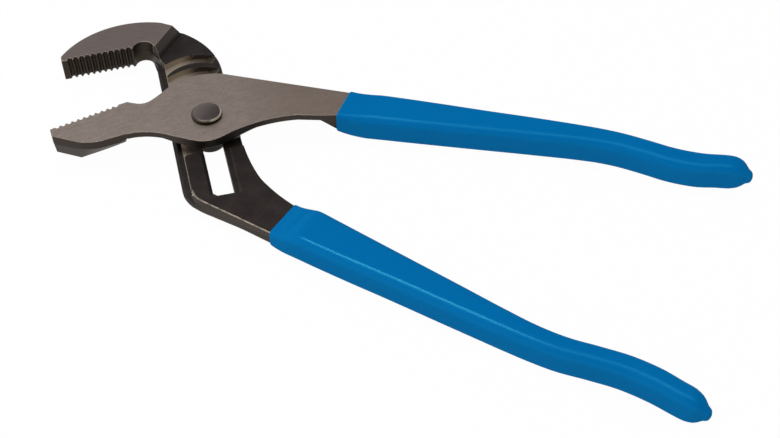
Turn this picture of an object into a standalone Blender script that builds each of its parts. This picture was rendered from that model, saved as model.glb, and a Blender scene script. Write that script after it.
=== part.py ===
# Tongue-and-groove pliers with dipped grips, about 254 mm long, shown partly open.
# The origin is on the bolt's axis, at the nut's outer face. +Y runs along the slot towards the upper jaw and
# +Z runs along the bolt, out of the front face. Lengths are in metres and angles in degrees.

import math

import bmesh
import bpy

# Stack of pieces along the bolt, from the nut's outer face up
GAP = 0.0003                    # left between pieces that touch
NUT_THICKNESS = 0.0027
NECK_THICKNESS = 0.0055
PLATE_THICKNESS = 0.0052
BOLT_HEAD_HEIGHT = 0.0018

# Bolt, nut and slot
SLOT_WIDTH = 0.0076
SLOT_RUNOUT = 0.0122            # slot left below the bolt's lowest place
SLOT_CORNER = 0.0014            # chamfer at the slot's lower left corner
SLOT_RIM_LEFT = 0.0014          # width of the sloped rim on each side
SLOT_RIM_RIGHT = 0.0022
SLOT_RIM_BOTTOM = 0.0011
SLOT_RIM_DEPTH = 0.0012
BOLT_HEAD_DIAMETER = 0.0113
BOLT_HEAD_ROUND = 0.0008
THREAD_DIAMETER = 0.0058
NUT_DIAMETER = 0.0113
NUT_CHAMFER = 0.0005

# Grooves of the back half and the tongue of the front half
GROOVE_COUNT = 7
GROOVE_PITCH = 0.00785
GROOVE_INNER_RADIUS = 0.0144
GROOVE_WIDTH = 0.0050
GROOVE_DEPTH = 0.0024
GROOVE_FLOOR_END = 74.0         # each groove's floor rises to the neck's face between these two angles
GROOVE_FACE_END = 60.0
POCKET_LENGTH = 0.0041          # flat run-out below the last groove
TONGUE_END_ANGLE = 151.5        # the tongue's outer end, in the front half's own frame

# How far the jaws stand open
OPEN_ANGLE = 13.5

# Jaws. Heights on the head are above its tooth line.
JAW_TILT = 2.2                  # both tooth faces lean this much, so they close parallel
TOOTH_PITCH = 0.00229
TOOTH_CREST = 0.0004
UPPER_TOOTH_DEPTH = 0.0013
LOWER_TOOTH_DEPTH = 0.0009
UPPER_JAW_TIP = -0.0499
UPPER_JAW_LAND = 0.0021         # flat at the tip, before the first notch
UPPER_JAW_END = -0.0226
UPPER_TIP_HEIGHT = 0.0029
UPPER_BACK_CENTRE = (-0.0221, -0.0165)
UPPER_BACK_END = (-0.0094, 0.0145)
UPPER_BACK_FLARE = 0.0017       # the back of the head widens this much towards the neck
UPPER_FLARE_STEPS = 8           # over this many of the back's 20 steps
HEAD_DROP = 0.0010              # the head's face lies this far below the plate's face
BACK_CHAMFER = 0.0010           # slope of the forging's back edges
HEAD_LAND = 0.0036              # from the top groove's crown to the tooth face
PIPE_NOTCH_DROP = 0.0009        # the notch's centre lies this far below the line of the teeth
PIPE_NOTCH_RADIUS = 0.0037
PIPE_NOTCH_FLARE = 0.0004       # the notch is wider by this on each side at the head's face
LOWER_JAW_TIP = -0.0537
LOWER_JAW_LAND = 0.0017
LOWER_JAW_END = -0.0267
LOWER_JAW_CORNER = -0.0235
LOWER_JAW_HEIGHT = 0.0203
LOWER_JAW_DROP = 0.0002         # the flat parts at both ends lie this far below the teeth's crests
JAW_WALL = 0.0035               # upright part of the lower jaw's side, above its draft

# Neck of the back half
NECK_LEFT = -0.0144
NECK_RIGHT = 0.0109
LEDGE_WIDTH = 0.0033            # from the left side's foot to the raised face
LEDGE_HEIGHT = 0.0026           # above the neck's back
LEDGE_SLOPE = 0.48              # share of the ledge's width that slopes, and where its flat part ends
LEDGE_FLAT_END = 0.92
LEDGE_FALL = 0.0001             # the flat part falls outwards by this much
NECK_TOP = 0.0400               # the left side is straight from here down to the corner
NECK_CORNER = -0.0268           # where the left side turns in towards the handle
LEDGE_END = -0.0400             # the ledge has faded out here
FACET_TOP_RIGHT = (-0.0050, 0.0114)
FACET_TOP_LEFT = (-0.0133, 0.0004)
FACET_FOOT_RIGHT = (-0.0009, 0.0107)
FACET_FOOT_LEFT = (-0.0121, -0.0044)
FACET_FOOT_HEIGHT = 0.0013
FACET_SLOPE = 0.55              # share of the facet's run that its slope takes, the rest is the fillet's

# Face plate of the front half
BULGE_CENTRE = (0.0014, 0.0009)
WAIST_CENTRE = (-0.0346, -0.0194)
PLATE_BEVEL = 0.0013            # back edge round the pivot
WAIST_BEVEL = 0.0028            # back edge at the plate's waists
BEVEL_ROUND = 0.0125            # the back edge starts to widen at this distance from the bolt
BEVEL_RUN = 0.0060              # and has its full width after this much more
BEVEL_TOP_END = -0.0120         # the top side keeps the small edge from here to the grip
BEVEL_REACH = 1.08              # how far a back edge slopes in, for its height
PLATE_GROWTH = 0.0020           # the plate is this much thicker where it enters the grip

# Handles. A station is (along the axis, across it, width of the tang).
LOWER_ANGLE = -47.0
LOWER_CUT = 44.0                # direction of the grip's mouth
LOWER_MOUTH = 0.0512
LOWER_STATIONS = [
    (0.0412, -0.0226, 0.0160), (0.0512, -0.0238, 0.0152), (0.0600, -0.0250, 0.0146),
    (0.0800, -0.0253, 0.0130), (0.1000, -0.0253, 0.0110), (0.1200, -0.0254, 0.0092),
    (0.1400, -0.0255, 0.0073), (0.1500, -0.0253, 0.0065), (0.1600, -0.0243, 0.0062),
    (0.1700, -0.0220, 0.0060), (0.1800, -0.0200, 0.0059), (0.1900, -0.0195, 0.0058),
    (0.1990, -0.0202, 0.0054),
]
LOWER_DRIP = 0.0000             # how far the drip at the grip's end hangs off the handle's line
UPPER_ANGLE = -42.5
UPPER_CUT = 41.2
UPPER_MOUTH = 0.0474
UPPER_STATIONS = [
    (0.0374, 0.0184, 0.0142), (0.0474, 0.0187, 0.0136), (0.0600, 0.0205, 0.0134),
    (0.0800, 0.0219, 0.0122), (0.1000, 0.0232, 0.0106), (0.1200, 0.0246, 0.0091),
    (0.1400, 0.0256, 0.0075), (0.1500, 0.0253, 0.0070), (0.1600, 0.0238, 0.0069),
    (0.1700, 0.0220, 0.0070), (0.1800, 0.0218, 0.0070), (0.1890, 0.0233, 0.0066),
]
UPPER_DRIP = -0.0021
TANG_THICKNESS = 0.0090
TANG_RISE = 0.0115              # length over which the tang grows to its full thickness
TANG_SHOULDER = 0.0004          # the tang is this much slimmer than the metal that it grows from
TANG_CORNER = 0.0022
TANG_EDGE = 0.0003              # corner where the tang leaves the bare metal
MOUTH_OVERLAP = 0.0015          # bare metal's full section runs this far into the grip
TANG_ROOT = 0.0005              # the tang starts this far back inside the bare metal
GRIP_WALL = 0.0012
GRIP_LIP = 0.0005               # the dipped coat is thinner at its mouth
GRIP_LIP_LENGTH = 0.0115
GRIP_END_LENGTH = 0.0098        # closed end past the tang
# The closed end narrows to the blunt drip that the dipping leaves: (share of its length, share of its size)
GRIP_END_PROFILE = [
    (0.12, 1.00), (0.28, 0.985), (0.42, 0.93), (0.55, 0.85), (0.66, 0.72), (0.74, 0.59),
    (0.81, 0.47), (0.88, 0.41), (0.94, 0.34), (0.98, 0.22), (1.00, 0.08),
]

CUT_PAST = 0.0010               # cutters go this far past what they cut

# Heights and places worked out from the sizes above
NECK_BACK = NUT_THICKNESS + GAP
NECK_FRONT = NECK_BACK + NECK_THICKNESS
PLATE_BACK = NECK_FRONT + GAP
FACE = PLATE_BACK + PLATE_THICKNESS
HEAD_FACE = FACE - HEAD_DROP
GROOVE_FLOOR = NECK_FRONT - GROOVE_DEPTH
GRIP_MIDDLE = (NECK_BACK + FACE) / 2
REACH = GROOVE_PITCH * (GROOVE_COUNT - 1) / 2
SLOT_BOTTOM = -REACH - SLOT_RUNOUT
HEAD_LINE = REACH + GROOVE_INNER_RADIUS + GROOVE_WIDTH + HEAD_LAND
POCKET_TOP = -REACH + GROOVE_INNER_RADIUS + GROOVE_WIDTH / 2
POCKET_BOTTOM = -REACH + GROOVE_INNER_RADIUS - POCKET_LENGTH
UPPER_TANG_BACK = PLATE_BACK - PLATE_GROWTH
LEDGE_Z = NECK_BACK + LEDGE_HEIGHT
LEDGE_X = NECK_LEFT + LEDGE_WIDTH
GROOVE_MOUTH_X = NECK_LEFT + LEDGE_WIDTH * LEDGE_FLAT_END


def arc(centre, radius, start, end, steps):
    """Points round a centre from one angle to another, both ends included."""
    points = []
    for i in range(steps + 1):
        angle = math.radians(start + (end - start) * i / steps)
        points.append((centre[0] + radius * math.cos(angle), centre[1] + radius * math.sin(angle)))
    return points


def arc_through(centre, start, end, steps):
    """Points from start to end round a centre, the short way; the radius may change evenly."""
    first = math.atan2(start[1] - centre[1], start[0] - centre[0])
    last = math.atan2(end[1] - centre[1], end[0] - centre[0])
    turn = (last - first + math.pi) % (2 * math.pi) - math.pi
    near = math.dist(centre, start)
    far = math.dist(centre, end)
    points = []
    for i in range(steps + 1):
        part = i / steps
        angle = first + turn * part
        radius = near + (far - near) * part
        points.append((centre[0] + radius * math.cos(angle), centre[1] + radius * math.sin(angle)))
    return points


def mix(a, b, part):
    """The point, number or list of points that lies part of the way from a to b."""
    if isinstance(a, (int, float)):
        return a + (b - a) * part
    return type(a)(mix(p, q, part) for p, q in zip(a, b))


def inset(outline, amounts):
    """An outline moved inwards, each point by its own amount along the bisector of its corner."""
    area = sum(p[0] * q[1] - q[0] * p[1] for p, q in zip(outline, outline[1:] + outline[:1]))
    side = 1 if area > 0 else -1
    moved = []
    for i, point in enumerate(outline):
        before = outline[i - 1]
        after = outline[(i + 1) % len(outline)]
        dx = after[0] - before[0]
        dy = after[1] - before[1]
        length = math.hypot(dx, dy)
        moved.append((point[0] - side * dy / length * amounts[i], point[1] + side * dx / length * amounts[i]))
    return moved


def smooth_stations(stations, count):
    """A smooth run of stations, or of points of the plane, through the given ones."""
    result = []
    last = len(stations) - 1
    for i in range(count):
        place = last * i / (count - 1)
        k = min(int(place), last - 1)
        t = place - k
        p0 = stations[max(k - 1, 0)]
        p1 = stations[k]
        p2 = stations[k + 1]
        p3 = stations[min(k + 2, last)]
        result.append(tuple(
            0.5 * (2 * b + (c - a) * t + (2 * a - 5 * b + 4 * c - d) * t * t
                   + (3 * b - a - 3 * c + d) * t ** 3)
            for a, b, c, d in zip(p0, p1, p2, p3)))
    return result


def at_station(stations, along):
    """Offset and width of a handle at a distance along its axis."""
    for a, b in zip(stations, stations[1:]):
        if along <= b[0] or b is stations[-1]:
            part = (along - a[0]) / (b[0] - a[0])
            return mix(a[1], b[1], part), mix(a[2], b[2], part)


def handle_sides(angle, cut, stations, along):
    """The two side points of a handle's bare metal at a distance along its axis, left then right."""
    offset, width = at_station(smooth_stations(stations, 12 * len(stations)), along)
    return [handle_point(angle, cut, along, offset, side * width / 2) for side in (-1, 1)]


def handle_point(angle, cut, along, offset, across):
    """A point of a handle's plane: along its axis, offset from it, then across along the cut."""
    x = along * math.cos(math.radians(angle)) - offset * math.sin(math.radians(angle))
    y = along * math.sin(math.radians(angle)) + offset * math.cos(math.radians(angle))
    return (x + across * math.cos(math.radians(cut)), y + across * math.sin(math.radians(cut)))


def finish(name, bm, material=None, smooth=False):
    """Makes an object of a bmesh, with its faces pointing out."""
    bmesh.ops.remove_doubles(bm, verts=bm.verts, dist=0.000001)
    bmesh.ops.recalc_face_normals(bm, faces=bm.faces)
    mesh = bpy.data.meshes.new(name)
    bm.to_mesh(mesh)
    bm.free()
    if smooth:
        mesh.shade_smooth()
        mesh.set_sharp_from_angle(angle=math.radians(32))
    obj = bpy.data.objects.new(name, mesh)
    bpy.context.scene.collection.objects.link(obj)
    if material:
        mesh.materials.append(material)
    return obj


def loft(name, levels, material=None, smooth=False):
    """A closed solid through loops of equal count; each loop is a list of points in space."""
    bm = bmesh.new()
    rings = [[bm.verts.new(point) for point in level] for level in levels]
    for lower, upper in zip(rings, rings[1:]):
        for i in range(len(lower)):
            j = (i + 1) % len(lower)
            bm.faces.new((lower[i], lower[j], upper[j], upper[i]))
    bm.faces.new(rings[0])
    bm.faces.new(rings[-1])
    return finish(name, bm, material, smooth)


def at_height(outline, z):
    return [(x, y, z) for x, y in outline]


def prism(name, outline, low, high):
    return loft(name, [at_height(outline, low), at_height(outline, high)])


def stepped(name, levels, count, steps, splits, material):
    """A loft whose first count points go on through further levels, past a step across the outline.

    The rest of the outline is closed at the last of levels. A step's loop has the same first count points,
    and splits are pairs of points between which that closing face is folded.
    """
    bm = bmesh.new()
    rings = [[bm.verts.new(point) for point in level] for level in levels]
    for lower, upper in zip(rings, rings[1:]):
        for i in range(len(lower)):
            j = (i + 1) % len(lower)
            bm.faces.new((lower[i], lower[j], upper[j], upper[i]))
    bm.faces.new(rings[0])
    base = rings[-1]
    # The step's own points lie between the last and the first of the points that go on
    middle = [bm.verts.new(point) for point in steps[0][count:]]
    bm.faces.new(base[count - 1:] + [base[0]] + middle[::-1])
    for a, b in splits:
        bmesh.ops.connect_verts(bm, verts=[base[a], base[b]])
    lower = base[:count] + middle
    for level in steps[1:]:
        upper = [bm.verts.new(point) for point in level]
        for i in range(len(lower)):
            j = (i + 1) % len(lower)
            bm.faces.new((lower[i], lower[j], upper[j], upper[i]))
        lower = upper
    bm.faces.new(lower)
    return finish(name, bm, material)


def revolve(name, profile, steps, material):
    """A turned solid about Z; the profile is (radius, z) from one end to the other."""
    bm = bmesh.new()
    rings = []
    for radius, z in profile:
        rings.append([bm.verts.new((x, y, z)) for x, y in arc((0, 0), radius, 0, 360, steps)[:-1]])
    closed = profile[0] == profile[-1]
    for lower, upper in zip(rings, rings[1:]):
        for i in range(steps):
            j = (i + 1) % steps
            bm.faces.new((lower[i], lower[j], upper[j], upper[i]))
    if not closed:
        bm.faces.new(rings[0])
        bm.faces.new(rings[-1])
    return finish(name, bm, material, smooth=True)


def combine(obj, other, operation):
    """Adds or cuts away another solid, which is left as a wire guide."""
    other.hide_render = True
    other.display_type = "WIRE"
    modifier = obj.modifiers.new(other.name, "BOOLEAN")
    modifier.operation = operation
    modifier.solver = "EXACT"
    modifier.object = other


def make_material(name, colour, metallic, roughness):
    material = bpy.data.materials.new(name)
    material.use_nodes = True
    shader = material.node_tree.nodes["Principled BSDF"]
    shader.inputs["Base Color"].default_value = (*colour, 1.0)
    shader.inputs["Metallic"].default_value = metallic
    shader.inputs["Roughness"].default_value = roughness
    material.diffuse_color = (*colour, 1.0)
    return material


def tooth_face(first, last, height, depth):
    """Points of a tooth face from its first notch to its last; depth is above 0 where notches go up."""
    slope = math.tan(math.radians(JAW_TILT))
    count = int((last - first) / TOOTH_PITCH + 0.001)
    half = (TOOTH_PITCH - TOOTH_CREST) / 2
    points = []
    for i in range(count):
        centre = first + TOOTH_PITCH * (i + 0.5)
        for dx, dy in ((-half, 0), (-half / 2, 0.82), (0, 1), (half / 2, 0.82), (half, 0)):
            x = centre + dx
            points.append((x, height + slope * (x - first) + dy * depth))
    return points


def rounded_section(half_width, low, high, radius, corner_steps=3):
    """A rounded rectangle as (across, z) points."""
    r = min(radius, half_width * 0.95, (high - low) * 0.48)
    points = []
    corners = ((half_width - r, high - r), (r - half_width, high - r),
               (r - half_width, low + r), (half_width - r, low + r))
    for quarter, centre in enumerate(corners):
        points += arc(centre, r, 90 * quarter, 90 * quarter + 90, corner_steps)
    return points


def ramp(along, mouth):
    """0 where the bare metal ends in the grip, 1 where the tang has its full thickness, with soft ends."""
    part = min(max((along - mouth - MOUTH_OVERLAP) / TANG_RISE, 0), 1)
    return part * part * (3 - 2 * part)


def handle_levels(angle, cut, mouth, stations, bare_low, bare_high, grow, lip):
    """Section loops along a tang, grown by a clearance or a coat; lip thins the coat at the mouth."""
    full_low = GRIP_MIDDLE - TANG_THICKNESS / 2
    full_high = GRIP_MIDDLE + TANG_THICKNESS / 2
    levels = []
    for along, offset, width in stations:
        part = ramp(along, mouth)
        low = mix(bare_low, full_low, part)
        high = mix(bare_high, full_high, part)
        thin = lip * max(0, 1 - (along - mouth) / GRIP_LIP_LENGTH) if lip else 0
        grown = grow - thin
        radius = max(mix(TANG_EDGE, TANG_CORNER, part) + grown, TANG_EDGE)
        section = rounded_section(width / 2 + grown, low - grown, high + grown, radius)
        levels.append([(*handle_point(angle, cut, along, offset, across), z) for across, z in section])
    return levels


def sleeve_stations(stations, start, mouth, end):
    """Stations of the smooth handle from start to end, closer together where the tang rises."""
    fine = smooth_stations(stations, 12 * len(stations))
    bare_end = mouth + MOUTH_OVERLAP
    risen = bare_end + TANG_RISE
    places = [start, mouth, mouth + GRIP_WALL]
    places += [mix(bare_end, risen, i / 8) for i in range(1, 8)]
    places += [mix(risen, end, i / 22) for i in range(23)]
    return [(along, *at_station(fine, along)) for along in sorted(set(places)) if along >= start]


def tang(name, angle, cut, mouth, stations, bare_low, bare_high):
    """The bar inside a grip, starting within the metal that it grows from."""
    start = mouth - TANG_ROOT
    levels = handle_levels(angle, cut, mouth, sleeve_stations(stations, start, mouth, stations[-1][0]),
                           bare_low, bare_high, -TANG_SHOULDER, 0)
    return loft(name, levels)


def grip(name, angle, cut, mouth, stations, drip, bare_low, bare_high, material):
    """A dipped sleeve: the tang's shape grown by the coat, with the bore for the tang cut out."""
    end = stations[-1][0]
    coat = GAP + GRIP_WALL
    body = sleeve_stations(stations, mouth, mouth, end)
    levels = handle_levels(angle, cut, mouth, body, bare_low, bare_high, coat, GRIP_WALL - GRIP_LIP)
    offset, width = body[-1][1:]
    slope = (body[-1][1] - body[-2][1]) / (body[-1][0] - body[-2][0])
    half = width / 2 + coat
    tall = TANG_THICKNESS / 2 + coat
    for share, size in GRIP_END_PROFILE:
        past = GRIP_END_LENGTH * share
        section = rounded_section(half * size, GRIP_MIDDLE - tall * size, GRIP_MIDDLE + tall * size,
                                  mix(TANG_CORNER + coat, half, share) * size)
        aside = offset + slope * past + drip * share * share
        levels.append([(*handle_point(angle, cut, end + past, aside, across), z) for across, z in section])
    sleeve = loft(name, levels, material, smooth=True)
    bore = handle_levels(angle, cut, mouth, sleeve_stations(stations, mouth - GRIP_WALL, mouth, end + GAP),
                         bare_low, bare_high, GAP, 0)
    combine(sleeve, loft(name + "_bore", bore), "DIFFERENCE")
    return sleeve


def on_head(point, out=0.0):
    """A point of the head, whose height is given above its tooth line."""
    return (point[0], HEAD_LINE + point[1] + out)


def away_from(centre, point, distance):
    """The point moved straight away from a centre, or towards it where the distance is below 0."""
    reach = math.dist(centre, point)
    return mix(centre, point, (reach + distance) / reach)


def upper_jaw_outline():
    """The centre of the head's back, the back, its flared foot, and the tooth face at foot and top."""
    slope = math.tan(math.radians(JAW_TILT))
    centre = on_head(UPPER_BACK_CENTRE)
    tip = (UPPER_JAW_TIP, HEAD_LINE + UPPER_TIP_HEIGHT - UPPER_JAW_LAND * slope)
    back = arc_through(centre, on_head(UPPER_BACK_END), tip, 20)
    flares = [UPPER_BACK_FLARE * max(0, 1 - i / UPPER_FLARE_STEPS) ** 2 for i in range(len(back))]
    wide = [away_from(centre, point, more) for point, more in zip(back, flares)]
    first = UPPER_JAW_TIP + UPPER_JAW_LAND
    teeth = tooth_face(first, UPPER_JAW_END, HEAD_LINE, UPPER_TOOTH_DEPTH)
    line_end = HEAD_LINE + slope * (UPPER_JAW_END - first)
    face = [(UPPER_JAW_TIP, HEAD_LINE - slope * UPPER_JAW_LAND)] + teeth
    notch_start = UPPER_JAW_END + TOOTH_CREST
    low = arc((notch_start + PIPE_NOTCH_RADIUS, line_end - PIPE_NOTCH_DROP), PIPE_NOTCH_RADIUS, 166, 0, 9)
    wide_radius = PIPE_NOTCH_RADIUS + PIPE_NOTCH_FLARE
    high = arc((notch_start + wide_radius, line_end - PIPE_NOTCH_DROP), wide_radius, 166, 12, 9)
    return centre, back, wide, face + low, face + high


def neck_left_side():
    """The neck's left side and its turn into the handle: at the back, and where the raised face ends."""
    turn_out = smooth_stations([(NECK_LEFT + 0.0001, NECK_CORNER), (NECK_LEFT + 0.0004, -0.0306),
                                (-0.0122, -0.0351), (-0.0087, -0.0393)], 8)
    turn_in = smooth_stations([(LEDGE_X + 0.0001, -0.0305), (LEDGE_X + 0.0004, -0.0333),
                               (-0.0097, -0.0361), (-0.0079, -0.0383)], 8)
    left_out = [(NECK_LEFT, NECK_TOP), (NECK_LEFT, 0.0)] + turn_out + [(0.0017, -0.0490)]
    left_in = [(LEDGE_X, NECK_TOP), (LEDGE_X, 0.0)] + turn_in + [(0.0019, -0.0484)]
    return left_out, left_in


def side_level(foot, top, share, z):
    """The outline between foot and top. The ledge's share fades to a plain side along the handle."""
    foot_z = NECK_BACK + BACK_CHAMFER
    plain = (z - foot_z) / (NECK_FRONT - foot_z)
    points = []
    for low, high in zip(foot, top):
        straight = min(max((low[1] - LEDGE_END) / (NECK_CORNER - LEDGE_END), 0), 1)
        points.append((*mix(low, high, mix(plain, share, straight)), z))
    return points


def groove_half(material):
    """Back forging: upper jaw, slotted and grooved neck, and the tang of the lower grip."""
    centre, back, wide, face, high_face = upper_jaw_outline()
    foot_right = on_head(FACET_FOOT_RIGHT)
    foot_left = on_head(FACET_FOOT_LEFT)
    left_out, left_in = neck_left_side()
    end_left, end_right = handle_sides(LOWER_ANGLE, LOWER_CUT, LOWER_STATIONS, LOWER_MOUTH + MOUTH_OVERLAP)
    mouth_left, mouth_right = handle_sides(LOWER_ANGLE, LOWER_CUT, LOWER_STATIONS, LOWER_MOUTH)
    right = smooth_stations([mouth_right, (0.0204, -0.0446), (0.0179, -0.0404), (0.0151, -0.0347),
                             (0.0134, -0.0300), (0.0118, -0.0216), (NECK_RIGHT + 0.0001, -0.0132),
                             (NECK_RIGHT, -0.0066)], 20)
    shoulder = arc_through((-0.0263, HEAD_LINE - 0.0161), (0.0102, HEAD_LINE - 0.0175), foot_right, 12)
    rest = [mouth_left, end_left, end_right] + right + shoulder[:-1]
    head = [foot_right] + wide + face
    count = len(head) + 1
    # Outlines from the back up: the chamfered back, the sides' foot, the ledge's two edges, and the face
    chamfered = [foot_right] + [away_from(centre, point, -BACK_CHAMFER) for point in wide]
    chamfered += [(x, y + BACK_CHAMFER) for x, y in face]
    chamfered += [(NECK_LEFT + BACK_CHAMFER, foot_left[1])]
    chamfered += [(x + BACK_CHAMFER, y) for x, y in left_out] + rest
    foot = head + [(NECK_LEFT, foot_left[1])] + left_out + rest
    top = head + [foot_left] + left_in + rest
    levels = [
        at_height(chamfered, NECK_BACK),
        at_height(foot, NECK_BACK + BACK_CHAMFER),
        side_level(foot, top, LEDGE_SLOPE, LEDGE_Z),
        side_level(foot, top, LEDGE_FLAT_END, LEDGE_Z + LEDGE_FALL),
        at_height(top, NECK_FRONT),
    ]
    # The head goes on to the face: a fillet, then the sloped facet
    high_head = [on_head(FACET_TOP_RIGHT)] + back + high_face + [on_head(FACET_TOP_LEFT)]
    low_head = head + [foot_left]
    steps = [at_height(low_head, NECK_FRONT)]
    for share, rise in ((0.80, 0.15), (0.62, 0.45), (FACET_SLOPE, 1.0)):
        steps.append(at_height(mix(high_head, low_head, share), NECK_FRONT + FACET_FOOT_HEIGHT * rise))
    steps.append(at_height(high_head, HEAD_FACE))
    half = stepped("groove_half", levels, count, steps, [], material)
    combine(half, tang("lower_tang", LOWER_ANGLE, LOWER_CUT, LOWER_MOUTH, LOWER_STATIONS,
                       NECK_BACK, NECK_FRONT), "UNION")
    combine(half, slot_cutter(), "DIFFERENCE")
    combine(half, slot_rim_cutter(), "DIFFERENCE")
    for cutter in groove_cutters():
        combine(half, cutter, "DIFFERENCE")
    combine(half, pocket_cutter(), "DIFFERENCE")
    return half


def slot_outline(grow_left, grow_right, grow_bottom, top):
    left = -SLOT_WIDTH / 2 - grow_left
    right = SLOT_WIDTH / 2 + grow_right
    bottom = SLOT_BOTTOM - grow_bottom
    corner = [(left, bottom + SLOT_CORNER), (left + SLOT_CORNER, bottom)]
    return [(left, top)] + corner + [(right, bottom), (right, top)]


def slot_cutter():
    """The slot: square at the bottom, round at the top."""
    outline = slot_outline(0, 0, 0, REACH)[:-1] + arc((0, REACH), SLOT_WIDTH / 2, 0, 180, 12)
    return prism("slot", outline[1:], NECK_BACK - CUT_PAST, NECK_FRONT + CUT_PAST)


def slot_rim_cutter():
    """The sloped rim round the lower part of the slot; it runs out into the pocket below the grooves."""
    more = 1 + CUT_PAST / SLOT_RIM_DEPTH
    top = POCKET_BOTTOM + CUT_PAST
    inner = slot_outline(-0.0002, -0.0002, -0.0002, top)
    outer = slot_outline(SLOT_RIM_LEFT * more, SLOT_RIM_RIGHT * more, SLOT_RIM_BOTTOM * more, top)
    return loft("slot_rim", [at_height(inner, NECK_FRONT - SLOT_RIM_DEPTH),
                             at_height(outer, NECK_FRONT + CUT_PAST)])


def groove_cutters():
    """One curved groove for each place of the tongue, all of one radius; the floor runs out to the right."""
    cutters = []
    past_end = GROOVE_FACE_END + (GROOVE_FACE_END - GROOVE_FLOOR_END) * CUT_PAST / GROOVE_DEPTH
    for k in range(GROOVE_COUNT):
        centre = (0, GROOVE_PITCH * k - REACH)
        loops = []
        for end, height in ((GROOVE_FLOOR_END, GROOVE_FLOOR), (past_end, NECK_FRONT + CUT_PAST)):
            outer = arc(centre, GROOVE_INNER_RADIUS + GROOVE_WIDTH, end, 150, 24)
            inner = arc(centre, GROOVE_INNER_RADIUS, 165, end, 26)
            loops.append(at_height(outer + inner, height))
        cutters.append(loft("groove_%d" % (k + 1), loops))
    return cutters


def pocket_cutter():
    """The flat patch below the last groove, where the cutter of the grooves ran out."""
    left = GROOVE_MOUTH_X - CUT_PAST
    right = NECK_RIGHT + CUT_PAST
    outline = [(left, POCKET_BOTTOM), (right, POCKET_BOTTOM), (right, POCKET_TOP), (left, POCKET_TOP)]
    return prism("pocket", outline, GROOVE_FLOOR, NECK_FRONT + CUT_PAST)


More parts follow.
